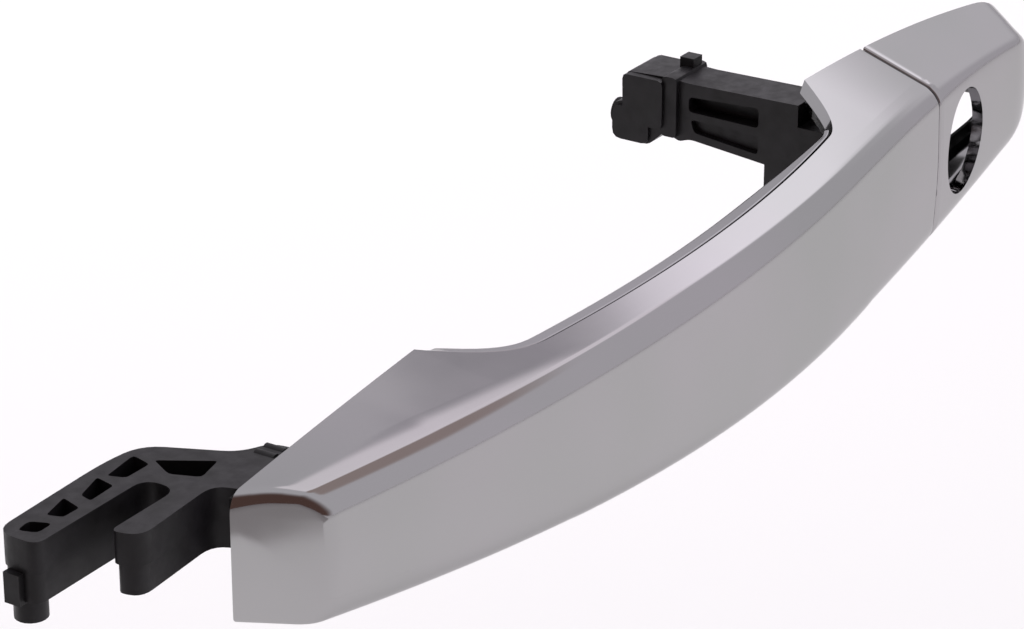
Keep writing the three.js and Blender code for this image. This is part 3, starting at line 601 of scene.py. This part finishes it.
# Each lobe tints the sky around its axis: the axis, the cosines where it starts and is full, and the colour.
SKY_LOBES = (
    ((0.86, 0.20, 0.50), 0.966, 0.996, (1.68, 1.60, 1.72)),
    ((0.55, 0.22, 0.80), 0.955, 0.975, (1.2, 1.12, 1.2)),
    ((0.70, 0.385, 0.60), 0.9960, 0.9995, (0.52, 0.49, 0.54)),
    ((0.95, 0.10, 0.27), 0.955, 0.99, (0.95, 0.92, 0.97)),
    ((0.42, -0.10, 0.90), 0.960, 0.985, (0.46, 0.37, 0.36)),
    ((-0.97, -0.2, 0.14), 0.35, 0.80, (0.13, 0.075, 0.065)),
)


def floor():
    bm = bmesh.new()
    bmesh.ops.create_grid(bm, x_segments=1, y_segments=1, size=FLOOR_SIZE / MM / 2)
    bmesh.ops.translate(bm, vec=(0, 0, FLOOR_Z / MM), verts=bm.verts)
    finish = Finish("pale_floor", (0.86, 0.86, 0.86), 0.0, 0.7)
    obj = add_object("floor", bm, finish.material)


def flag_card():
    """A grey card in front of the handle, seen only in reflections: it darkens the top of the end face."""
    bm = bmesh.new()
    corners = ((-2900, -2000), (FLAG_EDGE, -500), (FLAG_EDGE, 300), (-2900, 600))
    bm.faces.new([bm.verts.new((x, y, FLOOR_Z / MM + 1)) for x, y in corners])
    obj = add_object("flag_card", bm, Finish("flag_grey", (0.40, 0.385, 0.385), 0.0, 0.8).material)
    obj.visible_camera = obj.visible_diffuse = obj.visible_shadow = False


def studio_sky():
    """Soft studio surroundings: a grey-lavender tent, brighter towards the rear, with a dark room in front."""
    world = bpy.data.worlds.new("studio")
    world.use_nodes = True
    bpy.context.scene.world = world
    nodes, links = world.node_tree.nodes, world.node_tree.links
    direction = nodes.new("ShaderNodeTexCoord").outputs["Generated"]
    color = nodes.new("ShaderNodeRGB")
    color.outputs["Color"].default_value = (*SKY_BASE, 1)
    color = color.outputs["Color"]
    for axis, start, end, tint in SKY_LOBES:
        facing = nodes.new("ShaderNodeVectorMath")
        facing.operation = "DOT_PRODUCT"
        facing.inputs[1].default_value = Vector(axis).normalized()
        links.new(direction, facing.inputs[0])
        share = nodes.new("ShaderNodeMapRange")
        share.interpolation_type = "SMOOTHSTEP"
        share.inputs["From Min"].default_value = start
        share.inputs["From Max"].default_value = end
        links.new(facing.outputs["Value"], share.inputs["Value"])
        mix = nodes.new("ShaderNodeMix")
        mix.data_type = "RGBA"
        links.new(share.outputs["Result"], mix.inputs["Factor"])
        links.new(color, mix.inputs["A"])
        mix.inputs["B"].default_value = (*tint, 1)
        color = mix.outputs["Result"]
    links.new(color, nodes["Background"].inputs["Color"])


def softbox(name, location, target, size, power):
    """A soft light from above that the chrome doesn't mirror."""
    light = bpy.data.lights.new(name, "AREA")
    light.shape = "RECTANGLE"
    light.size, light.size_y = size
    light.energy = power
    obj = bpy.data.objects.new(name, light)
    obj.location = location
    obj.visible_glossy = False
    obj.rotation_euler = (Vector(target) - Vector(location)).to_track_quat("-Z", "Y").to_euler()
    bpy.context.scene.collection.objects.link(obj)


VIEW_CENTRE = Vector((-0.0683, 0.0313, -0.0184))
VIEW_AZIMUTH, VIEW_ELEVATION, VIEW_DISTANCE = math.radians(-57), math.radians(24), 0.64
LENS_MM, SENSOR_MM = 130.08, 36.0


def camera():
    toward = Vector((
        math.sin(VIEW_AZIMUTH) * math.cos(VIEW_ELEVATION),
        -math.cos(VIEW_AZIMUTH) * math.cos(VIEW_ELEVATION),
        math.sin(VIEW_ELEVATION),
    ))
    data = bpy.data.cameras.new("camera")
    data.lens = LENS_MM
    data.sensor_width = SENSOR_MM
    data.clip_start = 0.01
    obj = bpy.data.objects.new("camera", data)
    obj.location = VIEW_CENTRE + toward * VIEW_DISTANCE
    obj.rotation_euler = toward.to_track_quat("Z", "Y").to_euler()
    bpy.context.scene.collection.objects.link(obj)
    bpy.context.scene.camera = obj


floor()
flag_card()
studio_sky()
softbox("overhead", (0.35, 0.55, 1.2), (0.2, 0.2, -0.14), (1.5, 1.5), 16)
camera()
bpy.context.scene.view_settings.view_transform = "Standard"
